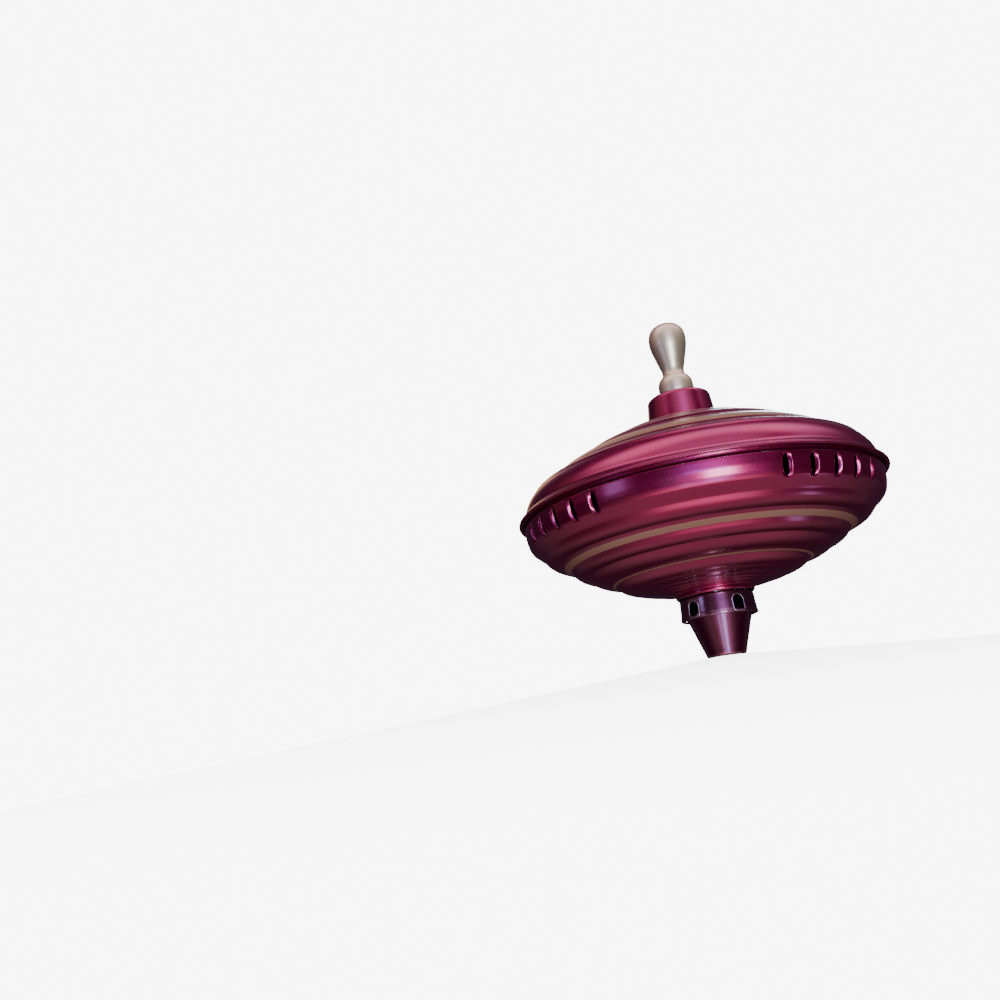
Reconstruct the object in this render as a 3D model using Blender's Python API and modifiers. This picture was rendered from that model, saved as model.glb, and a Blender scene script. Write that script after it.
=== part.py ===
"""Pump-action humming top in lacquered tin: two pressed shells on a centre tube, spun by a twisted rod.

The foot stands still on the floor. The shells turn on a pivot in it. The knob and its twisted rod slide
up and down without turning, and the rod turns a toothed nut inside the collar, which drives the shells.
Outlines are lists of (radius, height) in millimetres. Everything else is in metres, +Z up.
"""

import math

import bmesh
import bpy
from mathutils import Matrix, Vector

MM = 0.001

# Heights of the main seats above the floor
RIM_Z = 83.5 * MM
RING_Z = 19.6 * MM
REED_PLATE_Z = 33.0 * MM
TUBE_Z = 31.0 * MM
CLUTCH_Z = 119.4 * MM
NUT_Z = 123.8 * MM
COLLAR_Z = 122.8 * MM
BUSH_Z = 134.6 * MM
KNOB_Z = 140.8 * MM

# Sheet metal
SHELL_WALL = 0.6 * MM
CAP_WALL = 0.8 * MM

# Turned pieces
SHELL_SEGMENTS = 40
PIECE_SEGMENTS = 32
SMALL_SEGMENTS = 12

# Whistle slots: four groups of five around the lower shell
SLOT_GROUPS = 4
SLOTS_IN_GROUP = 5
SLOT_PITCH = math.radians(8.6)
SLOT_FIRST_GROUP = math.radians(-47.0)
SLOT_WIDTH = 3.2 * MM
SLOT_HEIGHT = 9.8 * MM
SLOT_MID_Z = -12.6 * MM

# Air windows in the ring under the shell, and the reeds above them
WINDOW_COUNT = 5
WINDOW_FIRST = math.radians(-57.0)
WINDOW_WIDTH = 6.2 * MM
WINDOW_HEIGHT = 7.6 * MM
WINDOW_SILL = 1.3 * MM
REED_COUNT = 5
REED_WIDTH = 2.8 * MM
REED_LENGTH = 9.0 * MM
REED_THICKNESS = 0.3 * MM
REED_TIP_R = 7.4 * MM
RIVET_R = 14.9 * MM
RIVET_HOLE_R = 0.75 * MM

# Drive: a twisted flat bar through a slotted nut, with a one-way clutch below the nut
ROD_WIDTH = 5.0 * MM
ROD_THICKNESS = 1.6 * MM
ROD_PITCH = 40.0 * MM
ROD_BOTTOM_Z = 38.6 * MM
ROD_TOP_Z = 158.6 * MM
ROD_STEPS = 84
ROD_CLEARANCE = 0.4 * MM
TENON_R = 1.1 * MM
TENON_LENGTH = 4.0 * MM
STOP_Z = 35.0 * MM
CLUTCH_TEETH = 12
NUT_DOGS = 3
TOOTH_R = 8.4 * MM
TOOTH_SIZE = Vector((2.6, 2.2, 1.6)) * MM
TOOTH_SINK = 0.4 * MM


def clear_scene():
    """Remove what the start-up file holds."""
    for obj in list(bpy.data.objects):
        bpy.data.objects.remove(obj, do_unlink=True)


def new_collection(name):
    """Add a collection to the scene."""
    collection = bpy.data.collections.new(name)
    bpy.context.scene.collection.children.link(collection)
    return collection


def principled(name, colour, roughness, metallic):
    """Make a Principled material."""
    material = bpy.data.materials.new(name)
    material.use_nodes = True
    shader = material.node_tree.nodes["Principled BSDF"]
    shader.inputs["Base Color"].default_value = (*colour, 1.0)
    shader.inputs["Roughness"].default_value = roughness
    shader.inputs["Metallic"].default_value = metallic
    return material


clear_scene()
PARTS = new_collection("tin_spinning_top")
CUTTERS = new_collection("cutters")

LACQUER = principled("burgundy_lacquer", (0.22, 0.012, 0.045), 0.28, 0.8)
GOLD_PAINT = principled("champagne_gold", (0.52, 0.47, 0.33), 0.32, 0.7)
STEEL = principled("bright_steel", (0.56, 0.57, 0.58), 0.3, 1.0)
TINPLATE = principled("bare_tinplate", (0.66, 0.66, 0.65), 0.25, 1.0)
BRASS = principled("reed_brass", (0.78, 0.57, 0.22), 0.25, 1.0)
NYLON = principled("white_nylon", (0.78, 0.77, 0.72), 0.45, 0.0)


def body_axis(name):
    """Add the empty that carries one rigid body; all four turn or slide on the centre line."""
    empty = bpy.data.objects.new(name, None)
    PARTS.objects.link(empty)
    return empty


FOOT = body_axis("foot_axis")
TOP = body_axis("top_axis")
HANDLE = body_axis("handle_axis")
NUT = body_axis("nut_axis")


def piece(name, mesh, material, body, height=0.0, angle=0.0):
    """Place one part on its body, at a height and an angle around the centre line."""
    obj = bpy.data.objects.new(name, mesh)
    obj.data.materials.clear()
    obj.data.materials.append(material)
    obj.location = (0.0, 0.0, height)
    obj.rotation_euler = (0.0, 0.0, angle)
    obj.parent = body
    PARTS.objects.link(obj)
    return obj


def tool(name, mesh, height=0.0):
    """Place a shape that cuts or joins a part and isn't a part itself."""
    obj = bpy.data.objects.new(name, mesh)
    obj.location = (0.0, 0.0, height)
    obj.hide_render = True
    obj.display_type = "WIRE"
    CUTTERS.objects.link(obj)
    return obj


def combine(obj, other, operation):
    """Cut a part with a tool, or join the tool to it."""
    boolean = obj.modifiers.new(other.name, "BOOLEAN")
    boolean.operation = operation
    boolean.object = other


def outline_mesh(name, outline, closed):
    """Make the half section that a Screw modifier turns."""
    mesh = bpy.data.meshes.new(name)
    bm = bmesh.new()
    points = [bm.verts.new((radius * MM, 0.0, height * MM)) for radius, height in outline]
    for start, end in zip(points, points[1:]):
        bm.edges.new((start, end))
    if closed:
        bm.edges.new((points[-1], points[0]))
    bm.to_mesh(mesh)
    bm.free()
    return mesh


def turn(obj, segments):
    """Turn an outline a full circle around the object's Z axis."""
    screw = obj.modifiers.new("turn", "SCREW")
    screw.axis = "Z"
    screw.angle = math.tau
    screw.steps = segments
    screw.render_steps = segments
    screw.use_merge_vertices = True
    screw.merge_threshold = 0.000001


def turned(name, outline, material, body, height=0.0, segments=PIECE_SEGMENTS, closed=False, wall=0.0):
    """Turn a part: a solid, a ring from a closed outline, or sheet metal with a wall inside its outline."""
    obj = piece(name, outline_mesh(name, outline, closed), material, body, height)
    turn(obj, segments)
    if wall:
        solidify = obj.modifiers.new("wall", "SOLIDIFY")
        solidify.thickness = wall
        solidify.offset = -1.0
        solidify.use_even_offset = True
    return obj


def fluted(creases):
    """Outline of pressed bands: between two creases (radius, height, swell) the sheet swells outwards."""
    outline = []
    for (r0, z0, swell), (r1, z1, _) in zip(creases, creases[1:]):
        outline.append((r0, z0))
        if swell:
            run = math.hypot(r1 - r0, z1 - z0)
            out_r = (z0 - z1) / run
            out_z = (r1 - r0) / run
            outline.append(((r0 + r1) / 2 + out_r * swell, (z0 + z1) / 2 + out_z * swell))
    outline.append(creases[-1][:2])
    return outline


def circle(centre_x, centre_y, radius, count):
    """Points of a circle in a plate's plane."""
    angles = [math.tau * i / count for i in range(count)]
    return [(centre_x + radius * math.cos(a), centre_y + radius * math.sin(a)) for a in angles]


def rectangle(x0, x1, half_width):
    """Points of a rectangle that lies along X."""
    return [(x0, -half_width), (x1, -half_width), (x1, half_width), (x0, half_width)]


def swung(points, angle):
    """Turn the points of a flat outline around the origin."""
    c = math.cos(angle)
    s = math.sin(angle)
    return [(x * c - y * s, x * s + y * c) for x, y in points]


def plate_mesh(name, outlines, thickness):
    """Stamp a flat plate, lying on its origin's height: the first outline is its edge, the rest are holes."""
    curve = bpy.data.curves.new(name, "CURVE")
    curve.dimensions = "2D"
    curve.fill_mode = "BOTH"
    curve.extrude = thickness / 2
    for points in outlines:
        spline = curve.splines.new("POLY")
        spline.points.add(len(points) - 1)
        for point, (x, y) in zip(spline.points, points):
            point.co = (x, y, 0.0, 1.0)
        spline.use_cyclic_u = True
    blank = bpy.data.objects.new(name, curve)
    bpy.context.scene.collection.objects.link(blank)
    depsgraph = bpy.context.evaluated_depsgraph_get()
    mesh = bpy.data.meshes.new_from_object(blank.evaluated_get(depsgraph))
    bpy.data.objects.remove(blank, do_unlink=True)
    bm = bmesh.new()
    bm.from_mesh(mesh)
    bmesh.ops.remove_doubles(bm, verts=bm.verts, dist=0.00001)
    bmesh.ops.translate(bm, verts=bm.verts, vec=(0.0, 0.0, thickness / 2))
    bm.to_mesh(mesh)
    bm.free()
    return mesh


def blocks_mesh(name, size, radius, angles, height=0.0, drop=0.0):
    """Make equal blocks around the centre line; drop lowers each top on one side, as on a ratchet tooth."""
    mesh = bpy.data.meshes.new(name)
    bm = bmesh.new()
    for angle in angles:
        block = bmesh.ops.create_cube(bm, size=1.0)["verts"]
        bmesh.ops.scale(bm, vec=size, verts=block)
        for vert in block:
            if vert.co.z > 0.0 and vert.co.y > 0.0:
                vert.co.z -= drop
        bmesh.ops.translate(bm, vec=(radius, 0.0, height), verts=block)
        bmesh.ops.rotate(bm, matrix=Matrix.Rotation(angle, 3, "Z"), verts=block)
    bm.to_mesh(mesh)
    bm.free()
    return mesh


def twisted_bar_mesh(name, width, thickness, bottom, top, steps):
    """Make a flat bar along the centre line and twist it right-handed, one turn in each ROD_PITCH."""
    mesh = bpy.data.meshes.new(name)
    bm = bmesh.new()
    bmesh.ops.create_cube(bm, size=1.0)
    bmesh.ops.scale(bm, vec=(width, thickness, top - bottom), verts=bm.verts)
    bmesh.ops.translate(bm, vec=(0.0, 0.0, (top + bottom) / 2), verts=bm.verts)
    uprights = [e for e in bm.edges if abs(e.verts[0].co.z - e.verts[1].co.z) > thickness]
    bmesh.ops.subdivide_edges(bm, edges=uprights, cuts=steps - 1, use_grid_fill=True)
    for vert in bm.verts:
        turn_here = Matrix.Rotation(math.tau * vert.co.z / ROD_PITCH, 3, "Z")
        vert.co = turn_here @ vert.co
    bm.to_mesh(mesh)
    bm.free()
    return mesh


def slot_angles():
    """Angle of every whistle slot around the lower shell."""
    angles = []
    for group in range(SLOT_GROUPS):
        middle = SLOT_FIRST_GROUP + math.tau * group / SLOT_GROUPS
        for slot in range(SLOTS_IN_GROUP):
            angles.append(middle + (slot - (SLOTS_IN_GROUP - 1) / 2) * SLOT_PITCH)
    return angles


def build_foot():
    """Cone that stands on the floor, with the bearing that the pivot turns in."""
    cone = [(0, 2.4), (9.4, 2.4), (10.4, 4.0), (15.4, 22.0), (16.3, 22.4)]
    cone += [(16.3, 20.6), (10.6, 3.4), (9.9, 1.2), (8.5, 0), (0, 0)]
    turned("foot_cone", cone, LACQUER, FOOT)
    bearing = [(0, 2.4), (2.4, 3.6), (2.4, 6.4), (5.2, 6.4), (5.2, 0), (0, 0)]
    turned("pivot_bearing", bearing, BRASS, FOOT, 2.7 * MM, segments=24)
    washer = [(12.2, 0.9), (12.2, 0), (2.6, 0), (2.6, 0.9)]
    turned("foot_retainer", washer, TINPLATE, FOOT, 13.0 * MM, closed=True)


def build_pivot_and_tube():
    """Pivot pin with the thrust collar that the foot hangs from, and the tube that the rod slides in."""
    pin = [(0, 28.9), (4.5, 28.9), (4.5, 26.0), (2.1, 25.6), (2.1, 6.6), (5.6, 6.6), (5.6, 5.0)]
    pin += [(2.1, 5.0), (2.1, 1.3), (0, 0)]
    turned("pivot_pin", pin, STEEL, TOP, 5.4 * MM, segments=24)
    tube = [(5.5, 88.0), (5.5, 0), (4.8, 0), (4.8, 88.0)]
    turned("centre_tube", tube, TINPLATE, TOP, TUBE_Z, segments=24, closed=True)


def build_air_ring():
    """Ring under the shell, with arched windows that let the air in to the reeds."""
    ring = [(13.5, 11.1), (18.1, 11.1), (18.6, 10.7), (18.8, 6.0)]
    ring += [(19.2, 1.2), (19.4, 0.4), (19.0, 0), (17.2, 0)]
    obj = turned("air_ring", ring, LACQUER, TOP, RING_Z, segments=40, wall=CAP_WALL)
    arch_r = WINDOW_WIDTH / 2
    arch_z = WINDOW_HEIGHT - arch_r
    arch_angles = [math.pi * (i / 8 - 0.5) for i in range(9)]
    arch = [(arch_z + arch_r * math.cos(a), arch_r * math.sin(a)) for a in arch_angles]
    outline = [(0.0, arch_r), (0.0, -arch_r)] + arch
    blank = plate_mesh("window_blank", [outline], 12.0 * MM)
    windows = bpy.data.meshes.new("windows")
    bm = bmesh.new()
    for index in range(WINDOW_COUNT):
        angle = WINDOW_FIRST + math.tau * index / WINDOW_COUNT
        upright = Matrix(((0, 0, 1), (0, 1, 0), (-1, 0, 0))).inverted()
        seat = Matrix.Translation((12.0 * MM, 0.0, WINDOW_SILL)) @ upright.to_4x4()
        place = Matrix.Rotation(angle, 4, "Z") @ seat
        start = len(bm.verts)
        bm.from_mesh(blank)
        bm.verts.ensure_lookup_table()
        bmesh.ops.transform(bm, matrix=place, verts=bm.verts[start:])
    bm.to_mesh(windows)
    bm.free()
    combine(obj, tool("ring_windows", windows, RING_Z), "DIFFERENCE")


def build_shells():
    """The two pressed shells; the upper one's flange is rolled over the lower one's edge."""
    lower = [(93.2, -2.5, 0), (91.6, -2.9, 0), (91.0, -5.6, 0), (92.3, -6.6, 0), (90.6, -17.4, 0)]
    lower += [(88.7, -18.6, 0), (86.2, -21.4, 1.2), (76.2, -27.2, 0), (70.8, -30.8, 0.8), (63.2, -35.4, 0)]
    lower += [(60.0, -36.6, 0.7), (51.8, -40.4, 0), (48.4, -41.4, 0.6), (41.0, -45.4, 0), (24.6, -48.6, 0)]
    lower += [(21.0, -49.3, 0), (19.4, -50.4, 0), (19.9, -51.4, 0), (19.3, -52.2, 0)]
    shell = turned("lower_shell", fluted(lower), LACQUER, TOP, RIM_Z, SHELL_SEGMENTS, wall=SHELL_WALL)
    size = Vector((12.0 * MM, SLOT_WIDTH, SLOT_HEIGHT))
    slots = blocks_mesh("slots", size, 91.0 * MM, slot_angles(), SLOT_MID_Z)
    combine(shell, tool("whistle_slots", slots, RIM_Z), "DIFFERENCE")
    upper = [(15.6, 38.6, 0), (22.6, 38.5, 0), (29.4, 38.0, 0), (33.6, 36.2, 0), (38.4, 35.0, 0.5)]
    upper += [(46.8, 31.0, 0), (52.4, 29.2, 0.5), (60.4, 24.4, 0), (67.0, 21.8, 0.5)]
    upper += [(76.4, 15.2, 0), (83.2, 12.4, 0)]
    upper += [(85.4, 10.0, 1.0), (91.0, -0.2, 0)]
    upper += [(94.0, -0.8, 0), (95.0, -2.1, 0), (94.4, -3.7, 0), (92.8, -3.9, 0)]
    turned("upper_shell", fluted(upper), LACQUER, TOP, RIM_Z, SHELL_SEGMENTS, wall=SHELL_WALL)


def build_reeds():
    """Reed plate across the neck of the lower shell, with a riveted brass reed over each of its slits."""
    spokes = [WINDOW_FIRST + math.tau * i / REED_COUNT for i in range(REED_COUNT)]
    outlines = [circle(0.0, 0.0, 18.2 * MM, 40), circle(0.0, 0.0, 5.9 * MM, 24)]
    for angle in spokes:
        outlines.append(swung(rectangle(REED_TIP_R + 0.4 * MM, 12.8 * MM, REED_WIDTH / 2 - 0.4 * MM), angle))
        outlines.append(swung(circle(RIVET_R, 0.0, RIVET_HOLE_R, 8), angle))
    piece("reed_plate", plate_mesh("reed_plate", outlines, 0.8 * MM), TINPLATE, TOP, REED_PLATE_Z)
    strip = [rectangle(REED_TIP_R, REED_TIP_R + REED_LENGTH, REED_WIDTH / 2)]
    strip.append(circle(RIVET_R, 0.0, RIVET_HOLE_R, 8))
    reed = plate_mesh("reed", strip, REED_THICKNESS)
    shank = [(0, 2.6), (1.2, 2.6), (1.2, 1.8), (0.45, 1.8), (0.45, -0.3), (1.2, -0.3), (1.2, -0.9), (0, -0.9)]
    for number, angle in enumerate(spokes, 1):
        piece(f"reed_{number}", reed, BRASS, TOP, REED_PLATE_Z + 1.1 * MM, angle)
        rivet = turned(f"reed_rivet_{number}", shank, TINPLATE, TOP, REED_PLATE_Z, SMALL_SEGMENTS)
        rivet.location = (RIVET_R * math.cos(angle), RIVET_R * math.sin(angle), REED_PLATE_Z)


def build_collar():
    """Collar over the clutch, with the guide bush for the rod and the cage that keeps the nut in place."""
    cap = [(5.6, 17.4), (14.8, 17.4), (16.3, 16.9), (17.0, 15.6), (18.6, 0)]
    turned("collar", cap, LACQUER, TOP, COLLAR_Z, wall=CAP_WALL)
    bush = [(5.3, 5.9), (5.3, 4.4), (8.4, 4.4), (8.4, 3.0), (5.3, 3.0), (5.3, 0), (3.0, 0), (3.0, 5.9)]
    turned("guide_bush", bush, NYLON, TOP, BUSH_Z, closed=True, segments=24)
    cage = [(3.6, 10.6), (13.6, 10.6), (14.6, 9.6), (14.6, 0)]
    turned("nut_cage", cage, TINPLATE, TOP, 120.9 * MM, wall=CAP_WALL)
    plate = [(21.0, 1.2), (21.0, 0), (3.4, 0), (3.4, 1.2)]
    clutch = turned("clutch_plate", plate, STEEL, TOP, CLUTCH_Z, closed=True)
    angles = [math.tau * i / CLUTCH_TEETH for i in range(CLUTCH_TEETH)]
    seat = 1.2 * MM - TOOTH_SINK + TOOTH_SIZE.z / 2
    teeth = blocks_mesh("clutch_teeth", TOOTH_SIZE, TOOTH_R, angles, seat, drop=0.9 * MM)
    combine(clutch, tool("clutch_teeth", teeth, CLUTCH_Z), "UNION")


def build_nut():
    """Nut with a twisted slot that the rod turns, and dogs that catch the clutch plate's teeth."""
    disc = [(0, 2.2), (10.6, 2.2), (11.0, 1.8), (11.0, 0), (0, 0)]
    nut = turned("drive_nut", disc, STEEL, NUT, NUT_Z)
    angles = [math.tau * i / NUT_DOGS for i in range(NUT_DOGS)]
    dogs = blocks_mesh("nut_dogs", TOOTH_SIZE, TOOTH_R, angles, TOOTH_SINK - TOOTH_SIZE.z / 2)
    combine(nut, tool("nut_dogs", dogs, NUT_Z), "UNION")
    width = ROD_WIDTH + 2 * ROD_CLEARANCE
    thickness = ROD_THICKNESS + 2 * ROD_CLEARANCE
    slot = twisted_bar_mesh("nut_slot", width, thickness, NUT_Z - 2 * MM, NUT_Z + 4 * MM, 12)
    combine(nut, tool("nut_slot", slot), "DIFFERENCE")


def build_handle():
    """Turned knob on the twisted rod, with the stop that keeps the rod in the tube."""
    knob = [(0, 43.2), (3.6, 42.7), (7.0, 41.1), (9.3, 38.2), (10.2, 34.2), (9.8, 29.4), (8.4, 24.0)]
    knob += [(6.9, 18.6), (5.9, 15.0), (6.2, 12.2), (8.0, 10.4), (9.1, 8.4), (9.4, 6.0), (9.2, 2.0), (8.7, 0)]
    knob += [(2.95, 0), (2.95, 18.6), (0, 18.6)]
    turned("knob", knob, GOLD_PAINT, HANDLE, KNOB_Z)
    bar = twisted_bar_mesh("drive_rod", ROD_WIDTH, ROD_THICKNESS, ROD_BOTTOM_Z, ROD_TOP_Z, ROD_STEPS)
    rod = piece("drive_rod", bar, STEEL, HANDLE)
    tenon_mesh = bpy.data.meshes.new("tenon")
    bm = bmesh.new()
    tenon_depth = TENON_LENGTH + TOOTH_SINK
    bmesh.ops.create_cone(
        bm, cap_ends=True, segments=SMALL_SEGMENTS, radius1=TENON_R, radius2=TENON_R, depth=tenon_depth
    )
    bm.to_mesh(tenon_mesh)
    bm.free()
    tenon = tool("rod_tenon", tenon_mesh, ROD_BOTTOM_Z + TOOTH_SINK - tenon_depth / 2)
    combine(rod, tenon, "UNION")
    stop = [(4.2, 3.3), (4.2, 0), (1.4, 0), (1.4, 3.3)]
    turned("rod_stop", stop, STEEL, HANDLE, STOP_Z, segments=20, closed=True)


build_foot()
build_pivot_and_tube()
build_air_ring()
build_shells()
build_reeds()
build_collar()
build_nut()
build_handle()
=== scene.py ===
"""Tin spinning top with a pump handle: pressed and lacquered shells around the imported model's frame.

All lengths in the outlines are millimetres, (radius, height), and every other length is in metres.
"""

import math

import bmesh
import bpy
import numpy as np
from mathutils import Matrix, Vector


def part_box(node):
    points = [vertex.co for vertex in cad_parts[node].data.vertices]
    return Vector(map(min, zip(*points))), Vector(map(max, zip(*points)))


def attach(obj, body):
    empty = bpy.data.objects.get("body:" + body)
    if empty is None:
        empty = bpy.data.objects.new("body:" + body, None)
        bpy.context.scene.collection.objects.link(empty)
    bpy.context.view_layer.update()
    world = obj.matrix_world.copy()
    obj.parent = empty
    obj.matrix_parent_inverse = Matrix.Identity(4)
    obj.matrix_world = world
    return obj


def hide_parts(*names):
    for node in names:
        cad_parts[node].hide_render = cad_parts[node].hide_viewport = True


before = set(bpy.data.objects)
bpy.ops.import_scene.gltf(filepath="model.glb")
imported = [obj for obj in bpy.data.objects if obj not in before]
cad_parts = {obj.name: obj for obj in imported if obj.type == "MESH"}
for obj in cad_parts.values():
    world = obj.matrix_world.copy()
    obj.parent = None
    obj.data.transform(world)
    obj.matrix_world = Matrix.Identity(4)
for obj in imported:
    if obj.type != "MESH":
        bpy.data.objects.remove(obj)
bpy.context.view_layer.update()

bl_info = {
    "name": "Tin spinning top",
    "version": (1, 0, 0),
    "blender": (4, 5, 0),
    "location": "3D View > Sidebar > Tin Top",
    "description": "Lacquered tin spinning top with whistle slots, an air ring and a twisted pump rod",
    "category": "Add Mesh",
}

MM = 0.001

# Heights of the pieces' own zero lines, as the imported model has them.
RIM_Z = 83.5 * MM
RING_Z = 19.6 * MM
COLLAR_Z = 122.8 * MM
KNOB_Z = 140.8 * MM
BUSH_Z = 134.6 * MM

# Outlines of pressed sheet, from the top down: (radius, height, swell). Between two creases the sheet swells
# outwards by the first one's swell, as a flute does.
LOWER_SHELL = (
    (92.4, -3.0, 0), (91.4, -3.4, 0), (91.1, -4.2, 0), (91.0, -5.5, 0), (92.2, -6.5, 0), (91.8, -11.5, 0),
    (91.0, -15.0, 0), (90.0, -16.9, 0), (88.8, -18.0, 0), (84.7, -21.4, 0), (84.3, -22.0, 1.2),
    (76.3, -27.0, 0.15), (71.0, -30.3, 0), (70.5, -30.8, 1.0), (63.3, -35.2, 0), (62.7, -35.5, 0.9),
    (52.8, -39.9, 0.1), (49.2, -41.2, 0), (48.7, -41.5, 0.8), (41.2, -45.3, 0), (40.6, -45.6, 0.3),
    (34.4, -46.9, 0), (33.8, -47.0, 0.45), (28.8, -47.9, 0.5), (25.2, -48.5, 0), (25.0, -48.6, 0.4),
    (22.4, -49.1, 0.3), (20.2, -49.6, 0), (19.4, -50.2, 0), (19.4, -50.3, 0.6), (19.3, -52.6, 0),
)
UPPER_SHELL = (
    (15.6, 38.6, 0), (19.4, 38.5, 0.3), (22.6, 38.4, 0), (23.4, 38.5, 0.4), (29.4, 38.0, 0),
    (30.4, 37.5, 0.2), (33.6, 36.2, 0), (34.4, 36.0, -0.1), (38.2, 35.1, 0), (38.8, 34.8, 0.6),
    (46.4, 31.2, 0), (47.4, 30.9, -0.15), (52.2, 29.3, 0), (52.8, 28.9, 0.7), (60.0, 24.6, 0),
    (61.0, 24.2, -0.15), (66.8, 21.9, 0), (67.4, 21.4, 0.6), (76.0, 15.4, 0), (77.2, 14.8, -0.15),
    (83.2, 12.4, 0), (84.8, 11.3, 0), (85.8, 9.8, 1.0), (91.0, -0.2, 0), (92.0, -1.6, 0),
    (93.6, -2.9, 0), (94.7, -3.4, 0), (95.0, -3.8, 0), (94.8, -4.3, 0), (94.2, -4.5, 0), (92.8, -4.4, 0),
)
COLLAR = (
    (5.6, 17.0, 0), (5.9, 17.4, 0), (14.2, 17.4, 0), (15.6, 17.1, 0), (16.5, 16.4, 0), (16.9, 15.4, 0),
    (17.8, 6.0, 0), (18.2, 1.4, 0), (18.6, 0.0, 0),
)
AIR_RING = (
    (13.5, 11.1, 0), (17.7, 11.1, 0), (18.4, 10.8, 0), (18.6, 10.1, 0), (18.8, 6.0, 0), (19.1, 1.8, 0),
    (19.4, 0.9, 0), (19.3, 0.2, 0), (18.8, 0.0, 0), (17.2, 0.0, 0),
)
FOOT_CONE = (
    (15.2, 21.8, 0), (15.5, 22.3, 0), (16.0, 22.4, 0), (16.3, 22.0, 0), (16.3, 20.8, 0), (15.9, 19.4, 0),
    (10.6, 3.4, 0), (10.1, 1.6, 0), (9.6, 0.5, 0), (8.5, 0.0, 0), (7.4, 0.3, 0), (0.0, 0.5, 0),
)
# Outlines of moulded pieces: (radius, height). The knob's runs from the top, rounded through every point.
KNOB = (
    (0, 43.2), (3.6, 42.75), (7.0, 41.1), (9.3, 38.2), (10.15, 34.2), (9.8, 29.4), (8.4, 24.0), (6.9, 18.6),
    (5.95, 15.0), (6.2, 12.4), (7.7, 10.7), (8.8, 9.0), (9.3, 6.8), (9.35, 4.6), (9.2, 2.2), (8.8, 0.5),
    (8.2, 0.0), (2.0, 0.0),
)
# The bush's outline has corners, and its last side runs back to the first point.
GUIDE_BUSH = (
    (3.0, 0.0), (3.0, 5.5), (3.3, 5.9), (5.0, 5.9), (5.3, 5.6), (5.3, 4.4), (8.3, 4.4), (8.4, 3.0),
    (5.3, 3.0),
)

# Printed gold lines: (inner radius, outer radius) in millimetres.
LOWER_LINES = ((49.4, 51.0), (71.1, 74.4))
UPPER_LINES = ((24.6, 25.6), (41.7, 43.1), (55.4, 57.0), (68.2, 74.8))

SLOT_GROUPS = 4
SLOTS_IN_GROUP = 5
SLOT_PITCH = math.radians(8.6)
FIRST_GROUP = math.radians(-47.0)
SLOT_MIDDLE = -12.6 * MM
BAND_RADIUS = 91.3 * MM
# Columns from a slot's edge to the fold beside it, and on to halfway to the next slot.
LIP_COLUMNS = (0.0, 0.15, 0.5, 0.86, 1.0)
BAND_COLUMNS = (0.05, 0.3, 0.65, 1.0)
SLOT_ROWS = 9
# How the lip eases out towards the slot's ends, and from its edge towards its fold.
LIP_END_EASE, LIP_SIDE_EASE = 1.1, 1.25

WINDOWS = 5
FIRST_WINDOW = math.radians(-57.0)
WINDOW_SILL = 1.0 * MM

# Soft boxes of the room: azimuth, elevation, width and height in degrees, then the softness of the edge, the
# brightness and the colour. Azimuth 0 is +X and -90 the front.
SOFT_BOXES = (
    (-72, 77, 100, 30, 0.17, 2.6, "#F8BCE6"),
    (96, 44, 50, 20, 0.14, 0.25, "#FFD0DC"),
    (-76, 42, 60, 30, 0.20, 1.2, "#F4D4F0"),
    (-80, -14, 50, 34, 0.14, 0.8, "#D4C8FF"),
    (-80, -54, 50, 28, 0.14, 1.8, "#FFB4D8"),
    (-74, -9, 16, 15, 0.05, 21.0, "#F0E8FF"),
    (-75, -34, 13, 26, 0.05, 6.0, "#B8B4FF"),
    (-94, -38, 8, 20, 0.04, 3.0, "#C4BCFF"),
    (-82, 1, 24, 6, 0.035, 10.0, "#7480FF"),
    (-74, 24, 24, 18, 0.15, 3.0, "#D4A0FF"),
    (-138, 4, 12, 20, 0.03, 3.0, "#B4AAFF"),
    (10, -44, 12, 8, 0.03, 2.4, "#C4BCFF"),
    (83, 24, 10, 11, 0.04, 16.0, "#D4F0FF"),
    (108, 27, 20, 18, 0.06, 1.2, "#E0A878"),
    (-168, 26, 44, 34, 0.12, 0.2, "#FFB0A0"),
    (-90, -82, 84, 80, 0.28, 0.46, "#FFD8E8"),
)
ROOM_BELOW, ROOM_ABOVE = "#241620", "#3C2A40"
LAMP_SIZE, LAMP_POWER, LAMP_PLACE = 0.8, 18.0, (0.35, -0.45, 1.1)
CAMERA_PLACE = (0.0, -0.47294, -0.0322)
CAMERA_TURN = tuple(math.radians(a) for a in (105.649, 7.108, 14.562))
CAMERA_LENS = 32.545

# Span of the ramp that draws the printed lines, and how far each line's edge fades, in millimetres.
LINE_SPAN = 100 * MM
LINE_FADE = 0.12
# Share of its colour that stained metal, and paint between bright flakes, keeps.
STAINED, FLAKE_SHADE = 0.72, 0.74

# Kinds of node that come up most.
NOISE, RANGE, MIX = "ShaderNodeTexNoise", "ShaderNodeMapRange", "ShaderNodeMix"
MATH, VECTOR_MATH, BUMP = "ShaderNodeMath", "ShaderNodeVectorMath", "ShaderNodeBump"
COORDINATES, PRINCIPLED = "ShaderNodeTexCoord", "ShaderNodeBsdfPrincipled"


def linear(hex_colour):
    """Turn an sRGB hex colour into the linear colour that shaders use."""
    channels = [int(hex_colour[i : i + 2], 16) / 255 for i in (1, 3, 5)]
    return tuple(c / 12.92 if c <= 0.04045 else ((c + 0.055) / 1.055) ** 2.4 for c in channels)


def opaque(colour):
    """Add the alpha that a colour socket wants."""
    return (*colour[:3], 1.0)


def length_property(name, description, default):
    """Length that shows in the scene's unit."""
    return bpy.props.FloatProperty(
        name=name, description=description, default=default, unit="LENGTH", precision=5
    )


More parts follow.
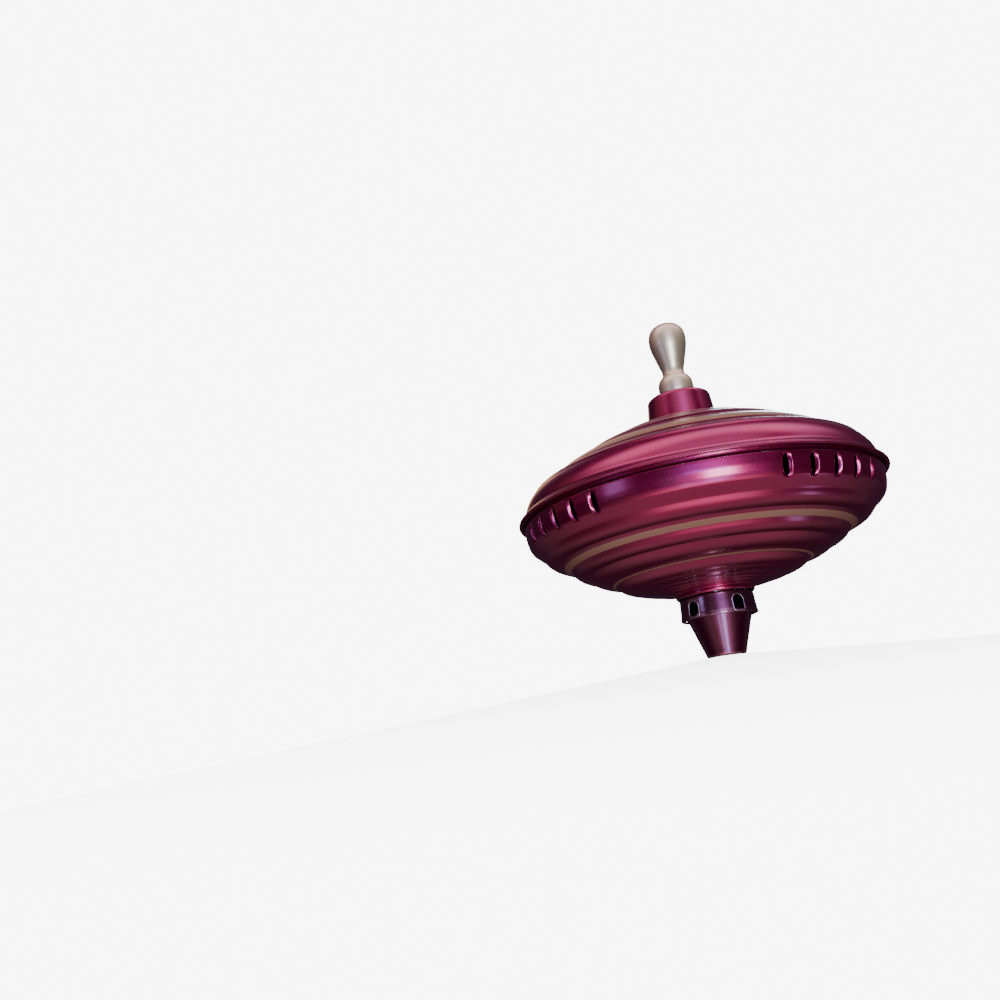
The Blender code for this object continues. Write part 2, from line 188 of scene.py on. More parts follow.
def colour_property(name, description, hex_colour):
    """Colour that shows as a swatch."""
    return bpy.props.FloatVectorProperty(
        name=name, description=description, default=linear(hex_colour), subtype="COLOR", min=0.0, max=1.0
    )


class TopSizes(bpy.types.PropertyGroup):
    """Sizes that a maker would change."""

    wall: length_property("Sheet thickness", "Thickness of the tinplate", 0.5 * MM)
    press_radius: length_property("Press radius", "How softly the press rounds a crease", 0.26 * MM)
    slot_width: length_property("Slot width", "Widest opening of a whistle slot", 2.6 * MM)
    slot_height: length_property("Slot height", "Length of a whistle slot", 9.8 * MM)
    fold_width: length_property("Fold width", "Distance between the folds on both sides of a slot", 4.9 * MM)
    lip_depth: length_property("Lip depth", "How far a slot's edges are pressed in", 1.5 * MM)
    window_width: length_property("Window width", "Width of an air window", 6.2 * MM)
    window_height: length_property("Window height", "Height of an air window", 7.8 * MM)
    rod_width: length_property("Rod width", "Width of the twisted rod", 5.0 * MM)
    rod_thickness: length_property("Rod thickness", "Thickness of the twisted rod", 1.6 * MM)
    rod_pitch: length_property("Rod pitch", "Length of one turn of the rod's twist", 40.0 * MM)
    steps: bpy.props.IntProperty(
        name="Steps", description="Steps around the upper shell; smaller pieces take half or a quarter",
        default=256, min=32,
    )


class TopColours(bpy.types.PropertyGroup):
    """Colours of the finishes."""

    lacquer: colour_property("Lacquer", "Burgundy lacquer where it is thin", "#A41250")
    lacquer_deep: colour_property("Deep lacquer", "Burgundy lacquer where it is thick", "#860C42")
    gold_line: colour_property("Gold line", "Printed lines on the shells", "#A88A62")
    champagne: colour_property("Champagne gold", "Paint on the knob", "#F0F4B8")
    tin: colour_property("Tinplate", "Bare tinplate at cut edges", "#CFCFD0")
    steel: colour_property("Steel", "Drawn steel of the rod", "#B9BBBE")
    brass: colour_property("Brass", "Rolled brass of the reeds", "#D9B366")
    # Inside of the sheet: bare tinplate, painted dark grey as the shade inside the shell.
    dull: colour_property("Dull tinplate", "Unlacquered inside of the sheet", "#3C3B3F")
    nylon: colour_property("Nylon", "Moulded guide bush", "#E8E5D9")
    paper: colour_property("Paper", "Floor and backdrop", "#F4F3F2")


def node(tree, kind, inputs=(), **settings):
    """Add a node. Inputs pair a socket with a value or the output that feeds it; the rest are settings."""
    made = tree.nodes.new(kind)
    for name, value in settings.items():
        setattr(made, name, value)
    for socket, value in dict(inputs).items():
        if isinstance(value, bpy.types.NodeSocket):
            tree.links.new(value, made.inputs[socket])
        else:
            made.inputs[socket].default_value = value
    return made


def set_stops(ramp, stops):
    """Replace a colour ramp's stops by (position, grey value) pairs."""
    elements = ramp.color_ramp.elements
    while len(elements) > 1:
        elements.remove(elements[-1])
    elements[0].position = stops[0][0]
    elements[0].color = (stops[0][1],) * 3 + (1.0,)
    for position, value in stops[1:]:
        elements.new(position).color = (value,) * 3 + (1.0,)


def new_material(name):
    """Start an empty node material."""
    material = bpy.data.materials.new(name)
    material.use_nodes = True
    material.node_tree.nodes.clear()
    return material, material.node_tree


def finish_material(tree, shader):
    """Link the shader to the surface."""
    node(tree, "ShaderNodeOutputMaterial", {"Surface": shader})


def line_stops(lines):
    """Ramp stops that are white on the lines (inner, outer radius in millimetres) and black elsewhere."""
    stops = [(0.0, 0.0)]
    for inner, outer in lines:
        for radius, value in ((inner - LINE_FADE, 0), (inner, 1), (outer, 1), (outer + LINE_FADE, 0)):
            stops.append((radius * MM / LINE_SPAN, value))
    return stops


def lacquered_tinplate(name, colours, lines=(), worn=None, coat_ior=1.55, tone=1.0):
    """Tinplate, roller-coated with transparent burgundy lacquer and printed with gold lines, then pressed.

    The bright metal below makes its highlights wide and pink, the lacquer's own face adds an untinted
    reflection that is a little soft, and the sheet keeps faint rings, dust specks and bare spots at rubbed
    edges. lines are the gold lines, worn is the lowest and highest height of a rubbed band, coat_ior sets how
    strongly the lacquer's face reflects, and a tone under 1 darkens the lacquer.
    """
    material, tree = new_material(name)
    place = node(tree, COORDINATES).outputs["Object"]
    axes = node(tree, "ShaderNodeSeparateXYZ", {0: place}).outputs
    flat = node(tree, "ShaderNodeCombineXYZ", {0: axes[0], 1: axes[1]}).outputs[0]
    radius = node(tree, VECTOR_MATH, {0: flat}, operation="LENGTH").outputs["Value"]

    # Clouds of 30 mm where the roller laid the lacquer thicker, and finger marks of 9 mm on its gloss.
    clouds = node(tree, NOISE, {"Vector": place, "Scale": 1 / (30 * MM), "Detail": 2.0}).outputs[0]
    marks = node(tree, NOISE, {"Vector": place, "Scale": 1 / (9 * MM), "Detail": 4.0}).outputs[0]
    thin, thick = (opaque([c * tone for c in shade]) for shade in (colours.lacquer, colours.lacquer_deep))
    colour = node(tree, MIX, {0: clouds, 6: thin, 7: thick}, data_type="RGBA").outputs[2]
    roughness = node(tree, RANGE, {0: marks, 1: 0.35, 2: 0.7, 3: 0.25, 4: 0.33}).outputs[0]

    metallic = 0.9
    if lines:
        # The printed edge wanders by up to 0.14 mm.
        wander = node(tree, NOISE, {"Vector": place, "Scale": 1 / (4 * MM), "Detail": 3.0}).outputs[0]
        offset = node(tree, RANGE, {0: wander, 3: -0.14 * MM, 4: 0.14 * MM}).outputs[0]
        edge = node(tree, MATH, {0: radius, 1: offset}, operation="ADD").outputs[0]
        along = node(tree, MATH, {0: edge, 1: LINE_SPAN}, operation="DIVIDE").outputs[0]
        ramp = node(tree, "ShaderNodeValToRGB", {0: along})
        set_stops(ramp, line_stops(lines))
        printed = ramp.outputs[0]
        gold = opaque(colours.gold_line)
        colour = node(tree, MIX, {0: printed, 6: colour, 7: gold}, data_type="RGBA").outputs[2]
        roughness = node(tree, MIX, {0: printed, 2: roughness, 3: 0.38}).outputs[0]
        metallic = node(tree, RANGE, {0: printed, 3: 0.9, 4: 0.62}).outputs[0]

    # Dust and pinholes: bright specks up to 0.3 mm across. There is one point in each 11 mm cell of space,
    # and a speck shows only where the sheet passes close to one, so they are few.
    cells = node(tree, "ShaderNodeTexVoronoi", {"Vector": place, "Scale": 1 / (11 * MM)}).outputs["Distance"]
    bare = node(tree, MATH, {0: cells, 1: 0.014}, operation="LESS_THAN").outputs[0]
    if worn:
        # Rubbed edge: bare flecks of about 0.9 mm, in patches of about 12 mm, in a narrow band of height.
        low, high = worn
        middle, half = (low + high) / 2, (high - low) / 2
        away = node(tree, MATH, {0: axes[2], 1: middle}, operation="SUBTRACT").outputs[0]
        away = node(tree, MATH, {0: away}, operation="ABSOLUTE").outputs[0]
        near = node(tree, RANGE, {0: away, 1: 0.0, 2: half, 3: 1.0, 4: 0.0}).outputs[0]
        flecks = node(tree, NOISE, {"Vector": place, "Scale": 1 / (0.9 * MM), "Detail": 4.0}).outputs[0]
        patches = node(tree, NOISE, {"Vector": place, "Scale": 1 / (12 * MM)}).outputs[0]
        rubbed = node(tree, MATH, {0: flecks, 1: patches}, operation="ADD").outputs[0]
        rubbed = node(tree, MATH, {0: rubbed, 1: near}, operation="MULTIPLY").outputs[0]
        rubbed = node(tree, RANGE, {0: rubbed, 1: 1.06, 2: 1.16}).outputs[0]
        bare = node(tree, MATH, {0: bare, 1: rubbed}, operation="MAXIMUM").outputs[0]
    colour = node(tree, MIX, {0: bare, 6: colour, 7: opaque(colours.tin)}, data_type="RGBA").outputs[2]

    # Orange peel of the baked lacquer, about 1.3 mm across, over rings left by the press every 1.5 mm or so.
    peel = node(tree, NOISE, {"Vector": place, "Scale": 1 / (1.3 * MM), "Detail": 0.0}).outputs[0]
    rings = node(
        tree, NOISE, {"W": radius, "Scale": 1 / (1.5 * MM), "Detail": 3.0}, noise_dimensions="1D"
    ).outputs[0]
    relief = node(tree, BUMP, {"Height": rings, "Strength": 0.25, "Distance": 0.012 * MM}).outputs[0]
    relief = node(
        tree, BUMP, {"Height": peel, "Normal": relief, "Strength": 0.15, "Distance": 0.01 * MM}
    ).outputs[0]
    shader = node(
        tree,
        PRINCIPLED,
        {
            "Base Color": colour,
            "Metallic": metallic,
            "Roughness": roughness,
            "Coat Weight": 1.0,
            "Coat Roughness": 0.16,
            "Coat IOR": coat_ior,
            "Normal": relief,
        },
    ).outputs[0]
    finish_material(tree, shader)
    return material


def metal(name, colour, roughness, grain, stretch, depth):
    """Bare metal with the grain that its forming left.

    grain is its width in metres, a stretch under 1 draws it out along that axis, and depth is its relief.
    """
    material, tree = new_material(name)
    place = node(tree, COORDINATES).outputs["Object"]
    long_way = node(tree, "ShaderNodeMapping", {0: place, "Scale": stretch}).outputs[0]
    lines = node(tree, NOISE, {"Vector": long_way, "Scale": 1 / grain, "Detail": 3.0}).outputs[0]
    stain = node(tree, NOISE, {"Vector": place, "Scale": 1 / (6 * MM), "Detail": 4.0}).outputs[0]
    dull = tuple(c * STAINED for c in colour[:3])
    tone = node(tree, RANGE, {0: stain, 1: 0.4, 2: 0.75}).outputs[0]
    mixed = node(tree, MIX, {0: tone, 6: opaque(colour), 7: opaque(dull)}, data_type="RGBA").outputs[2]
    gloss = node(tree, RANGE, {0: lines, 3: roughness - 0.06, 4: roughness + 0.10}).outputs[0]
    relief = node(tree, BUMP, {"Height": lines, "Strength": 0.4, "Distance": depth}).outputs[0]
    shader = node(
        tree, PRINCIPLED, {"Base Color": mixed, "Metallic": 1.0, "Roughness": gloss, "Normal": relief}
    ).outputs[0]
    finish_material(tree, shader)
    return material


def cut_tinplate(colours):
    """Tinplate, sheared: a bright, slightly grey edge with fine burr lines, where the lacquer ends."""
    return metal("sheared_tinplate", colours.tin, 0.26, 0.25 * MM, (1.0, 1.0, 0.2), 0.01 * MM)


def inside_tinplate_painted_shade(colours):
    """Tinplate, left bare inside: matt, and painted dark grey as shade, so that the openings look dark."""
    return metal("bare_inside_tinplate_painted_shade", colours.dull, 0.5, 0.6 * MM, (1.0, 1.0, 0.4), 0.01 * MM)


def drawn_steel(colours):
    """Steel, cold drawn: drawing lines run along the rod, so its highlights are long streaks."""
    return metal("cold_drawn_steel", colours.steel, 0.27, 0.18 * MM, (1.0, 1.0, 0.03), 0.008 * MM)


def rolled_brass(colours):
    """Brass, rolled to spring strip: yellow, with a soft sheen and faint roll lines."""
    return metal("rolled_reed_brass", colours.brass, 0.24, 0.2 * MM, (0.05, 1.0, 1.0), 0.006 * MM)


def champagne_paint(colours):
    """Moulded knob, sprayed with champagne-gold metallic paint.

    Fine flakes give it a silky, pale gold sheen, which the pinkish soft boxes turn nearly neutral, and a
    little dirt lies on it in clouds of about 7 mm.
    """
    material, tree = new_material("sprayed_champagne_gold")
    place = node(tree, COORDINATES).outputs["Object"]
    # Real flakes are 0.05 mm; they are drawn 0.22 mm across, so that they show.
    flakes = node(tree, "ShaderNodeTexVoronoi", {"Vector": place, "Scale": 1 / (0.22 * MM)}).outputs["Color"]
    flake_tone = node(tree, "ShaderNodeSeparateColor", {0: flakes}).outputs[0]
    clouds = node(tree, NOISE, {"Vector": place, "Scale": 1 / (7 * MM), "Detail": 4.0}).outputs[0]
    shade = tuple(c * FLAKE_SHADE for c in colours.champagne)
    light = node(tree, RANGE, {0: flake_tone, 3: 0.3, 4: 0.7}).outputs[0]
    paint = node(
        tree, MIX, {0: light, 6: opaque(colours.champagne), 7: opaque(shade)}, data_type="RGBA"
    ).outputs[2]
    dirt_tone = node(tree, RANGE, {0: clouds, 1: 0.5, 2: 0.8, 3: 0.0, 4: 0.3}).outputs[0]
    paint = node(
        tree, MIX, {0: dirt_tone, 6: paint, 7: opaque(linear("#7E7259"))}, data_type="RGBA"
    ).outputs[2]
    gloss = node(tree, RANGE, {0: clouds, 3: 0.36, 4: 0.44}).outputs[0]
    peel = node(tree, NOISE, {"Vector": place, "Scale": 1 / (0.9 * MM), "Detail": 2.0}).outputs[0]
    relief = node(tree, BUMP, {"Height": peel, "Strength": 0.35, "Distance": 0.02 * MM}).outputs[0]
    shader = node(
        tree,
        PRINCIPLED,
        {
            "Base Color": paint,
            "Metallic": 0.85,
            "Roughness": gloss,
            "Coat Weight": 1.0,
            "Coat Roughness": 0.26,
            "Normal": relief,
        },
    ).outputs[0]
    finish_material(tree, shader)
    return material


def moulded_nylon(colours):
    """Nylon, injection moulded: off-white, waxy, softly lit from within, with a slight grain."""
    material, tree = new_material("moulded_nylon")
    place = node(tree, COORDINATES).outputs["Object"]
    grain = node(tree, NOISE, {"Vector": place, "Scale": 1 / (0.5 * MM), "Detail": 2.0}).outputs[0]
    gloss = node(tree, RANGE, {0: grain, 3: 0.36, 4: 0.5}).outputs[0]
    relief = node(tree, BUMP, {"Height": grain, "Strength": 0.3, "Distance": 0.02 * MM}).outputs[0]
    shader = node(
        tree,
        PRINCIPLED,
        {
            "Base Color": opaque(colours.nylon),
            "Roughness": gloss,
            "IOR": 1.53,
            "Subsurface Weight": 0.1,
            "Subsurface Scale": 1.0 * MM,
            "Normal": relief,
        },
    ).outputs[0]
    finish_material(tree, shader)
    return material


def finish_makers():
    """Give the function that makes each finish, by the finish's name."""
    colours = bpy.context.scene.top_colours
    return {
        "lower_lacquer": lambda: lacquered_tinplate(
            "printed_lacquer_lower_shell", colours, LOWER_LINES, (RIM_Z - 7.4 * MM, RIM_Z - 5.8 * MM)
        ),
        "upper_lacquer": lambda: lacquered_tinplate("printed_lacquer_upper_shell", colours, UPPER_LINES),
        "plain_lacquer": lambda: lacquered_tinplate("lacquer_on_tinplate", colours),
        "ring_lacquer": lambda: lacquered_tinplate(
            "lacquer_on_air_ring", colours, (), (RING_Z - 0.6 * MM, RING_Z + 1.2 * MM), 2.3, 0.45
        ),
        "foot_lacquer": lambda: lacquered_tinplate(
            "lacquer_on_foot", colours, (), (-1.0 * MM, 1.4 * MM), 2.0, 0.5
        ),
        "tin": lambda: cut_tinplate(colours),
        # The inside finish is painted dark grey, as shade.
        "inside": lambda: inside_tinplate_painted_shade(colours),
        "steel": lambda: drawn_steel(colours),
        "brass": lambda: rolled_brass(colours),
        "champagne": lambda: champagne_paint(colours),
        "nylon": lambda: moulded_nylon(colours),
    }


# Finishes made so far, by name.
FINISHES = {}


def finish_named(name):
    """Give a finish, made on first use."""
    if name not in FINISHES:
        FINISHES[name] = finish_makers()[name]()
    return FINISHES[name]


def spaced(points, step):
    """Fill a line in with points at an even step."""
    points = np.array(points, float)
    runs = np.hypot(*np.diff(points, axis=0).T)
    along = np.concatenate(([0.0], np.cumsum(runs)))
    even = np.linspace(0.0, along[-1], max(2, int(round(along[-1] / step)) + 1))
    return np.stack([np.interp(even, along, points[:, k]) for k in (0, 1)], 1)


def fluted(creases):
    """Line of pressed bands, in millimetres: between two creases the sheet swells outwards."""
    line = []
    for (r0, z0, swell), (r1, z1, _) in zip(creases, creases[1:]):
        run = math.hypot(r1 - r0, z1 - z0)
        out_r, out_z = (z0 - z1) / run, (r1 - r0) / run
        for k in range(16):
            t = k / 16
            bulge = swell * 4 * t * (1 - t)
            line.append((r0 + (r1 - r0) * t + out_r * bulge, z0 + (z1 - z0) * t + out_z * bulge))
    line.append(creases[-1][:2])
    return line


def softened(line, reach, step=0.08):
    """Round a line's corners as a press does: reach is the rounding's size, in millimetres."""
    fine = spaced(line, step)
    width = max(1, int(3 * reach / step))
    kernel = np.exp(-0.5 * (np.arange(-width, width + 1) * step / reach) ** 2)
    kernel /= kernel.sum()
    soft = fine.copy()
    for k in (0, 1):
        part = fine[:, k]
        before, after = 2 * part[0] - part[width:0:-1], 2 * part[-1] - part[-2 : -width - 2 : -1]
        soft[:, k] = np.convolve(np.concatenate((before, part, after)), kernel, "valid")
    soft[:, 0] = np.maximum(soft[:, 0], 0.0)
    return soft


def thinned(line, slack, longest):
    """Keep the points that a line needs to stay within slack of itself, with no step over the longest."""
    keep = {0, len(line) - 1}
    spans = [(0, len(line) - 1)]
    while spans:
        a, b = spans.pop()
        if b - a < 2:
            continue
        chord = line[b] - line[a]
        size = np.hypot(*chord)
        offset = line[a + 1 : b] - line[a]
        if size > 0:
            away = np.abs(chord[0] * offset[:, 1] - chord[1] * offset[:, 0]) / size
        else:
            away = np.hypot(offset[:, 0], offset[:, 1])
        worst = int(np.argmax(away))
        middle = a + 1 + worst
        if away[worst] <= slack:
            if size <= longest:
                continue
            middle = (a + b) // 2
        keep.add(middle)
        spans += [(a, middle), (middle, b)]
    return [tuple(line[k]) for k in sorted(keep)]


def between(a, b, c, d, t):
    """Value a share t of the way from b to c, on the smooth curve that also passes through a and d."""
    square, cube = (2 * a - 5 * b + 4 * c - d) * t * t, (3 * b - a - 3 * c + d) * t**3
    return 0.5 * (2 * b + (c - a) * t + square + cube)


def rounded(points, pieces=8):
    """Smooth line through every point, as a lathe or a mould leaves it."""
    ends = [points[0], *points, points[-1]]
    line = []
    for p0, p1, p2, p3 in zip(ends, ends[1:], ends[2:], ends[3:]):
        for k in range(pieces):
            line.append(tuple(between(*four, k / pieces) for four in zip(p0, p1, p2, p3)))
    line.append(points[-1])
    return [(max(0.0, r), z) for r, z in line]


def pressed_rows(creases, reach, slack=0.012, longest=1.6):
    """Rows of a pressed sheet's outline, in metres."""
    line = thinned(softened(fluted(creases), reach / MM), slack, longest)
    return [(r * MM, z * MM) for r, z in line]


def around(steps):
    """Even angles of a full turn."""
    return [math.tau * k / steps for k in range(steps)]


def skin(name, points, skip=None):
    """Mesh from rows of points that run all the way around, from the top down; skip leaves a face out."""
    mesh = bpy.data.meshes.new(name)
    bm = bmesh.new()
    verts = [[bm.verts.new(p) for p in row] for row in points]
    columns = len(points[0])
    for i in range(len(verts) - 1):
        for j in range(columns):
            if skip and skip(i, j):
                continue
            k = (j + 1) % columns
            bm.faces.new((verts[i][j], verts[i + 1][j], verts[i + 1][k], verts[i][k]))
    bmesh.ops.remove_doubles(bm, verts=bm.verts, dist=0.002 * MM)
    loose = [v for v in bm.verts if not v.link_faces]
    bmesh.ops.delete(bm, geom=loose, context="VERTS")
    for face in bm.faces:
        face.smooth = True
    bm.to_mesh(mesh)
    bm.free()
    return mesh


def turned(name, rows, height, steps):
    """Mesh of a piece that is round all over."""
    angles = around(steps)
    points = [[(r * math.cos(a), r * math.sin(a), z + height) for a in angles] for r, z in rows]
    return skin(name, points)


def place_piece(name, mesh, body, finishes, nodes=()):
    """Put a piece in the scene with its finishes, on its body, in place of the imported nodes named."""
    obj = bpy.data.objects.new(name, mesh)
    bpy.context.scene.collection.objects.link(obj)
    for finish in finishes:
        obj.data.materials.append(finish_named(finish))
    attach(obj, body)
    if nodes:
        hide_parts(*nodes)
    return obj


def place_sheet(name, mesh, body, lacquer, packed, wall):
    """Put a pressed sheet in the scene: lacquered outside, bright at cut edges, dark inside as painted shade.
    """
    sheet = place_piece(name, mesh, body, (lacquer, "tin", "inside"), (packed,))
    solidify = sheet.modifiers.new("wall", "SOLIDIFY")
    solidify.thickness = wall
    solidify.offset = -1.0
    solidify.material_offset_rim = 1
    solidify.material_offset = 2
    return sheet


def settle(obj):
    """Make the modifiers' result the piece's own mesh."""
    depsgraph = bpy.context.evaluated_depsgraph_get()
    mesh = bpy.data.meshes.new_from_object(obj.evaluated_get(depsgraph))
    obj.modifiers.clear()
    obj.data = mesh


def crisp(obj, degrees=38):
    """Shade smooth, apart from edges sharper than an angle."""
    obj.data.set_sharp_from_angle(angle=math.radians(degrees))


def slotted_columns(sizes):
    """Columns around the lower shell: (slot's angle, side, share of the opening, distance, lip) for each."""
    half_cell = SLOT_PITCH / 2 * BAND_RADIUS
    fold = sizes.fold_width / 2
    half = [(1 - f, fold * f, 1 - f) for f in LIP_COLUMNS]
    half += [(0.0, fold + (half_cell - fold) * f, 0.0) for f in BAND_COLUMNS]
    columns = []
    quarter = math.tau / SLOT_GROUPS
    group_width = SLOTS_IN_GROUP * SLOT_PITCH
    gap_steps = 24
    for group in range(SLOT_GROUPS):
        middle = FIRST_GROUP + quarter * group
        for slot in range(SLOTS_IN_GROUP):
            angle = middle + (slot - (SLOTS_IN_GROUP - 1) / 2) * SLOT_PITCH
            left = half if slot == 0 else half[:-1]
            columns += [(angle, -1, *c) for c in reversed(left)]
            columns += [(angle, 1, *c) for c in half]
        start = middle + group_width / 2
        columns += [
            (start + (quarter - group_width) * k / gap_steps, 0, 0.0, 0.0, 0.0) for k in range(1, gap_steps)
        ]
    return columns


def slotted_rows(rows, sizes):
    """Rows of the lower shell, with the slots' own rows in their band."""
    half = sizes.slot_height / 2
    low, high = SLOT_MIDDLE - half, SLOT_MIDDLE + half
    heights = np.array([z for _, z in rows[::-1]])
    radii = np.array([r for r, _ in rows[::-1]])
    steps = range(-SLOT_ROWS, SLOT_ROWS + 1)
    inside = [SLOT_MIDDLE + half * math.sin(math.pi / 2 * k / SLOT_ROWS) for k in steps]
    band = [(float(np.interp(z, heights, radii)), z) for z in reversed(inside)]
    above = [row for row in rows if row[1] > high + 0.1 * MM]
    below = [row for row in rows if row[1] < low - 0.1 * MM]
    return above + band + below


class TOP_OT_lower_shell(bpy.types.Operator):
    """Press the lower shell, with its whistle slots and printed lines"""

    bl_idname = "tin_top.lower_shell"
    bl_label = "Lower Shell"

    def execute(self, context):
        sizes = context.scene.top_sizes
        rows = slotted_rows(pressed_rows(LOWER_SHELL, sizes.press_radius), sizes)
        columns = slotted_columns(sizes)
        half_height = sizes.slot_height / 2
        points = []
        for radius, height in rows:
            share = (height - SLOT_MIDDLE) / half_height
            lens = math.sqrt(max(0.0, 1 - share * share))
            opening = sizes.slot_width / 2 * lens
            depth = sizes.lip_depth * lens**LIP_END_EASE
            row = []
            for angle, side, edge_share, distance, lip in columns:
                turn = angle + side * (edge_share * opening + distance) / BAND_RADIUS
                r = radius - depth * lip**LIP_SIDE_EASE
                row.append((r * math.cos(turn), r * math.sin(turn), height + RIM_Z))
            points.append(row)
        edges = [side < 0 and edge_share == 1.0 for _, side, edge_share, _, _ in columns]
        mesh = skin("lower_shell_skin", points, skip=lambda i, j: edges[j])
        place_sheet("lower_shell_pressed", mesh, "top", "lower_lacquer", "lower_shell", sizes.wall)
        return {"FINISHED"}


class TOP_OT_upper_shell(bpy.types.Operator):
    """Press the upper shell, with its stepped flutes, printed lines and rolled flange"""

    bl_idname = "tin_top.upper_shell"
    bl_label = "Upper Shell"

    def execute(self, context):
        sizes = context.scene.top_sizes
        rows = pressed_rows(UPPER_SHELL, sizes.press_radius)
        mesh = turned("upper_shell_skin", rows, RIM_Z, sizes.steps)
        place_sheet("upper_shell_pressed", mesh, "top", "upper_lacquer", "upper_shell", sizes.wall)
        return {"FINISHED"}


class TOP_OT_collar(bpy.types.Operator):
    """Press the collar over the clutch and mould the bush that guides the rod"""

    bl_idname = "tin_top.collar"
    bl_label = "Collar and Bush"

    def execute(self, context):
        sizes = context.scene.top_sizes
        rows = pressed_rows(COLLAR, sizes.press_radius)
        mesh = turned("collar_skin", rows, COLLAR_Z, sizes.steps // 2)
        place_sheet("collar_pressed", mesh, "top", "plain_lacquer", "collar", sizes.wall)
        line = [(r * MM, z * MM) for r, z in GUIDE_BUSH]
        bush = turned("guide_bush_mesh", line + line[:1], BUSH_Z, sizes.steps // 4)
        bush_piece = place_piece("guide_bush_moulded", bush, "top", ("nylon",), ("guide_bush",))
        crisp(bush_piece)
        return {"FINISHED"}


def arch_outline(sizes, steps=14):
    """Outline of an air window, (across, up) from the middle of its sill."""
    half = sizes.window_width / 2
    spring = sizes.window_height - half
    corner = 0.7 * MM
    line = []
    for centre, start in (((half - corner, corner), -90), ((-half + corner, corner), 180)):
        arc = [math.radians(start + 90 * k / 4) for k in range(5)]
        line += [(centre[0] + corner * math.cos(a), centre[1] + corner * math.sin(a)) for a in arc]
        if start == -90:
            arch = [math.pi * k / steps for k in range(steps + 1)]
            line += [(half * math.cos(a), spring + half * math.sin(a)) for a in arch]
    return line


def ring_radius(height):
    """Radius of the air ring's face at a height above its foot."""
    rows = [(r, z) for r, z, _ in AIR_RING if r > 18.3][::-1]
    return float(np.interp(height / MM, [z for _, z in rows], [r for r, _ in rows])) * MM


class TOP_OT_air_ring(bpy.types.Operator):
    """Press the air ring and pierce its arched windows"""

    bl_idname = "tin_top.air_ring"
    bl_label = "Air Ring"

    def execute(self, context):
        sizes = context.scene.top_sizes
        rows = pressed_rows(AIR_RING, sizes.press_radius, longest=0.8)
        mesh = turned("air_ring_skin", rows, RING_Z, sizes.steps // 2)
        ring = place_sheet("air_ring_pressed", mesh, "top", "ring_lacquer", "air_ring", sizes.wall * 1.4)
        outline = arch_outline(sizes)
        punch_mesh = bpy.data.meshes.new("window_punch")
        bm = bmesh.new()
        for number in range(WINDOWS):
            turn = Matrix.Rotation(FIRST_WINDOW + math.tau * number / WINDOWS, 3, "Z")
            ends = [
                [bm.verts.new(turn @ Vector((depth, x, RING_Z + WINDOW_SILL + z))) for x, z in outline]
                for depth in (14.0 * MM, 22.0 * MM)
            ]
            count = len(outline)
            bm.faces.new(ends[0][::-1])
            bm.faces.new(ends[1])
            for k in range(count):
                bm.faces.new((ends[0][k], ends[0][(k + 1) % count], ends[1][(k + 1) % count], ends[1][k]))
        bmesh.ops.recalc_face_normals(bm, faces=bm.faces)
        bm.to_mesh(punch_mesh)
        bm.free()
        punch_mesh.materials.append(finish_named("tin"))
        punch = bpy.data.objects.new("window_punch", punch_mesh)
        context.scene.collection.objects.link(punch)
        pierce = ring.modifiers.new("windows", "BOOLEAN")
        pierce.operation = "DIFFERENCE"
        pierce.solver = "EXACT"
        pierce.material_mode = "TRANSFER"
        pierce.object = punch
        settle(ring)
        bpy.data.objects.remove(punch, do_unlink=True)
        crisp(ring)
        self.rims(outline)
        return {"FINISHED"}

    def rims(self, outline):
        """Turned-out edges of the windows, rubbed bright: a half-round bead on the ring's face."""
        bead = 0.42 * MM
        sections = 8
        mesh = bpy.data.meshes.new("window_rims")
        bm = bmesh.new()
        count = len(outline)
        for number in range(WINDOWS):
            angle = FIRST_WINDOW + math.tau * number / WINDOWS
            loops = []
            for k, (x, z) in enumerate(outline):
                before, after = outline[k - 1], outline[(k + 1) % count]
                along = Vector((after[0] - before[0], after[1] - before[1])).normalized()
                away = Vector((along.y, -along.x))
                loop = []
                for s in range(sections):
                    swing = math.tau * s / sections
                    out = bead * 0.55 * math.sin(swing)
                    side = bead * math.cos(swing) + bead * 0.3
                    px, pz = x + away.x * side, z + away.y * side
                    r = ring_radius(pz + WINDOW_SILL) + out
                    turn = angle + px / r
                    point = (r * math.cos(turn), r * math.sin(turn), RING_Z + WINDOW_SILL + pz)
                    loop.append(bm.verts.new(point))
                loops.append(loop)
            for k in range(count):
                here, following = loops[k], loops[(k + 1) % count]
                for s in range(sections):
                    t = (s + 1) % sections
                    bm.faces.new((here[s], following[s], following[t], here[t]))
        bmesh.ops.recalc_face_normals(bm, faces=bm.faces)
        for face in bm.faces:
            face.smooth = True
        bm.to_mesh(mesh)
        bm.free()
        place_piece("air_window_rims", mesh, "top", ("tin",))


class TOP_OT_foot(bpy.types.Operator):
    """Press the cone that the top stands on"""

    bl_idname = "tin_top.foot"
    bl_label = "Foot"

    def execute(self, context):
        sizes = context.scene.top_sizes
        rows = pressed_rows(FOOT_CONE, sizes.press_radius, longest=1.2)
        mesh = turned("foot_skin", rows, 0.0, sizes.steps // 2)
        place_sheet("foot_cone_pressed", mesh, "foot", "foot_lacquer", "foot_cone", sizes.wall)
        return {"FINISHED"}


